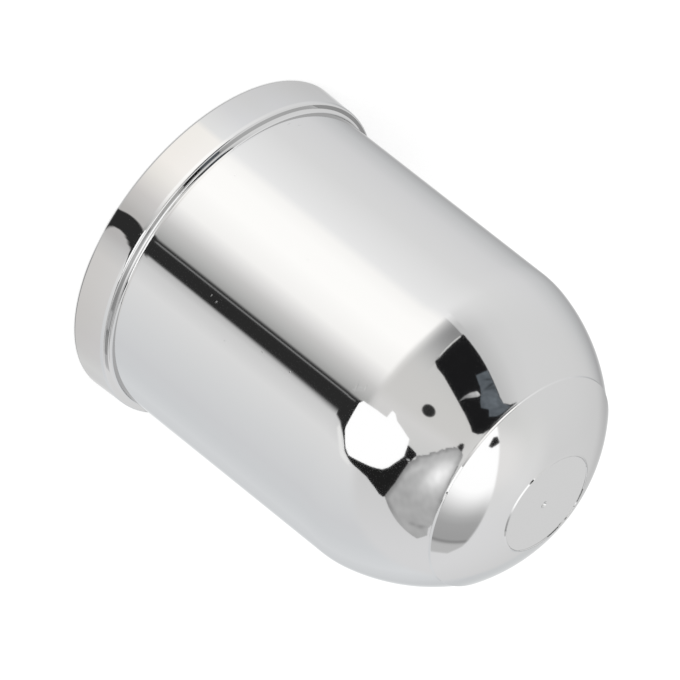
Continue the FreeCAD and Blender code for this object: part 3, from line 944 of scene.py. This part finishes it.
cut_card("overhead_sheet", [
    (-17.3, 13), (-9.5, 5.2), (-1.5, -2), (7, -10), (19, -22), (35, -39), (42, -41), (49, -34.4),
    (50.7, -18.5), (42, 0), (38, 8), (31.2, 18), (24.7, 24.7), (17, 29.4), (10, 28), (0, 24),
    (-12, 20.8),
], overhead_glow, put=overhead(1), soft=1.4, spacing=(0.9, 0.9))
cut_card("overhead_clip", [
    (-9.6, 5.4), (-7, 6.7), (-4.6, 8.2), (-4.1, 11.2), (-10, 11.6), (-11.9, 9.4),
], "#262626", put=overhead(2), soft=0.5, spacing=(0.6, 0.6))

# %% [markdown]
# The collar widens towards the rim by two degrees and sits right on the table, so it mirrors the paper
# that the cap stands on. That mat is laid out in fans: an azimuth, and the height in millimetres on the
# collar that mirrors the spot.

# %% The paper mat under the collar
COLLAR_RAY_SLOPE = math.radians(25.8)
# The mat's near-white stretch from -49 to -10 is painted light, and its grey dip from 5 to 42 is painted
# shade.
MAT_TONES = [
    (-180, "#CFCFCF"), (-168, "#C4C4C4"), (-160, "#BEBEBE"), (-150, "#C6C6C6"), (-120, "#C8C8C8"),
    (-100, "#CBCBCC"), (-86, "#CDCDCD"), (-72, "#D2D2D3"), (-53, "#DFDFDE"), (-49, "#EFECE7"),
    (-20, "#F0ECE7"), (-10, "#E6E3DE"), (0, "#D4D1CE"), (5, "#C8C5C3"), (12, "#BEBCBA"),
    (18, "#B2B0AE"), (36, "#B4B2B1"), (42, "#C0BFBE"), (52, "#CBC9C7"), (68, "#CAC8C6"),
    (92, "#C6C4C2"), (110, "#C6C4C3"), (126, "#CAC9C8"), (142, "#D4D4D3"), (158, "#CECECE"),
    (170, "#C8C8C8"), (180, "#C4C4C4"),
]
MAT_GAIN = (0.03, 0.035, 0.045)
MAT_GAIN_HEIGHTS = (1, 6)
MAT_SIDE = 178
MAT_FOOT = -0.2
MAT_TOP = 5.7
RIM_SHADOW_TOP = 0.22
RIM_SHADOW_TONE = 184
RIM_SHADOW_FALL = 48

# The mat's layers lie a hair under the rim's plane, each a little above the one before, in millimetres.
MAT_LIFT = -0.04
RIM_SHADOW_LIFT = -0.035
STRIPE_LIFT = -0.03


def on_mat(lift):
    """A function that puts an azimuth and a mirrored height in millimetres on the mat.

    The side of the collar that faces half the azimuth mirrors what lies at the whole of it.
    """
    def put(spot):
        facing = math.radians(spot.x / 2)
        heading = math.radians(spot.x)
        reach = spot.y / math.tan(COLLAR_RAY_SLOPE)
        x = RIM_RADIUS * math.sin(facing) + reach * math.sin(heading)
        y = -RIM_RADIUS * math.cos(facing) - reach * math.cos(heading)
        return Vector((x * MM, y * MM, lift * MM))
    return put


def mat_band(top):
    """Corners of a band of the mat, nearly all the way round and up to a mirrored height."""
    return [(-MAT_SIDE, MAT_FOOT), (MAT_SIDE, MAT_FOOT), (MAT_SIDE, top), (-MAT_SIDE, top)]


def mat_glow(azimuth, height):
    """The mat's tone in the direction of an azimuth, cooler and a little lighter further out."""
    further = ease(height, *MAT_GAIN_HEIGHTS)
    return tuple(c * (1 + gain * further) for c, gain in zip(ramp(MAT_TONES, azimuth), MAT_GAIN))


def rim_shadow_glow(azimuth, height):
    """The shadow right at the rim, darker away from the camera on the +X side."""
    return glow_for(grey(RIM_SHADOW_TONE - RIM_SHADOW_FALL * ease(azimuth, 42, 64)))


cut_card("paper_mat", mat_band(MAT_TOP), mat_glow, spacing=(2.0, 0.8), put=on_mat(MAT_LIFT))
cut_card("rim_shadow", mat_band(RIM_SHADOW_TOP), rim_shadow_glow, spacing=(2.0, 0.14),
         put=on_mat(RIM_SHADOW_LIFT))
# A painted reflection: the dark stripe carries the softbox's pole down onto the collar.
cut_card("mat_stripe", [
    (21.2, -0.6), (41, -0.6), (36.6, 0.4), (33.4, 1), (31.8, 1.6), (31.3, 2.4), (31.8, 3.2),
    (33.2, 3.6), (33.4, 4), (35.6, 4.5), (35.8, 4.9), (37.2, 5.4), (38.2, 6.5), (22.4, 6.5),
    (21, 5.6), (20, 4.8), (19.4, 3.6), (19.4, 2.4), (19.9, 1.4), (20.6, 0.6),
], "#292929", spacing=(0.4, 0.3), soft=0.8, put=on_mat(STRIPE_LIFT))

# %% [markdown]
# ## Light, floor and background

# %% World, lamp and floor
world = bpy.data.worlds.new("white_studio")
bpy.context.scene.world = world
world.use_nodes = True
tree = world.node_tree
tree.nodes.clear()
FILL_LIGHT = 0.7
ray = add_node(tree, "ShaderNodeLightPath").outputs
seen = add_node(tree, "ShaderNodeMath", {"operation": "MAXIMUM"}, {
    0: ray["Is Camera Ray"], 1: ray["Is Glossy Ray"],
})
seen = add_node(tree, "ShaderNodeMath", {"operation": "MAXIMUM"}, {
    0: seen.outputs[0], 1: ray["Is Transmission Ray"],
})
strength = add_node(tree, "ShaderNodeMapRange", None, {
    "Value": seen.outputs[0], "To Min": FILL_LIGHT, "To Max": 1.0,
})
background = add_node(tree, "ShaderNodeBackground", None, {
    "Color": (1, 1, 1, 1), "Strength": strength.outputs[0],
})
add_node(tree, "ShaderNodeOutputWorld", None, {"Surface": background.outputs[0]})

KEY_PLACE = Vector((0.12, -0.9, 1.3))
KEY_SIZE = 0.9
KEY_POWER = 9.0
key = bpy.data.lights.new("soft_key", "AREA")
key.shape = "DISK"
key.size = KEY_SIZE
key.energy = KEY_POWER
key_lamp = bpy.data.objects.new("soft_key", key)
key_lamp.location = KEY_PLACE
key_lamp.rotation_euler = (-KEY_PLACE).to_track_quat("-Z", "Y").to_euler()
key_lamp.visible_glossy = False
bpy.context.collection.objects.link(key_lamp)

FLOOR_HALF = 3.0
FLOOR_HEIGHT = -0.05 * MM
floor_mesh = bpy.data.meshes.new("pale_floor")
floor_mesh.from_pydata(
    [(x * FLOOR_HALF, y * FLOOR_HALF, FLOOR_HEIGHT) for x, y in ((-1, -1), (1, -1), (1, 1), (-1, 1))],
    [], [(0, 1, 2, 3)],
)
floor = bpy.data.objects.new("pale_floor", floor_mesh)
bpy.context.collection.objects.link(floor)
floor.visible_glossy = False
floor_material, tree = new_material("matt_white_paper")
ray = add_node(tree, "ShaderNodeLightPath").outputs
PAPER_SHARE = 0.6
PAPER_GLOW = 0.52
paper = add_node(tree, "ShaderNodeBsdfDiffuse", None, {"Color": (PAPER_SHARE, PAPER_SHARE, PAPER_SHARE, 1)})
lift = add_node(tree, "ShaderNodeMath", {"operation": "MULTIPLY"}, {0: ray["Is Camera Ray"], 1: PAPER_GLOW})
glowing = add_node(tree, "ShaderNodeEmission", None, {"Strength": lift.outputs[0]})
both = add_node(tree, "ShaderNodeAddShader", None, {0: paper.outputs[0], 1: glowing.outputs[0]})
side = add_node(tree, "ShaderNodeNewGeometry").outputs["Backfacing"]
see_through = add_node(tree, "ShaderNodeBsdfTransparent")
floor_mix = add_node(tree, "ShaderNodeMixShader", None, {
    0: side, 1: both.outputs[0], 2: see_through.outputs[0],
})
add_node(tree, "ShaderNodeOutputMaterial", None, {"Surface": floor_mix.outputs[0]})
floor_mesh.materials.append(floor_material)

# %% [markdown]
# ## The camera
# The cap lies at a slant in the picture, but here it stands upright on its rim, as the part does on a
# shelf. So the camera is rolled instead. It looks down on the cap at about 28 degrees.

# %% Camera
CAMERA_PLACE = Vector((0, -0.73981, 0.41856))
CAMERA_AIM = Vector((0.000046, 0, 0.029123))
CAMERA_ROLL = math.radians(128.426)
LENS = 286.68
SENSOR_WIDTH = 36
CLIP_END = 50
camera = bpy.data.cameras.new("camera")
camera.sensor_width = SENSOR_WIDTH
camera.lens = LENS
camera.clip_end = CLIP_END
camera_object = bpy.data.objects.new("camera", camera)
camera_object.location = CAMERA_PLACE
upright = (CAMERA_AIM - CAMERA_PLACE).to_track_quat("-Z", "Y")
camera_object.rotation_mode = "QUATERNION"
camera_object.rotation_quaternion = upright @ Quaternion((0, 0, 1), CAMERA_ROLL)
bpy.context.collection.objects.link(camera_object)
bpy.context.scene.camera = camera_object
bpy.context.scene.view_settings.view_transform = "Standard"

# %% Finish
bpy.context.view_layer.update()
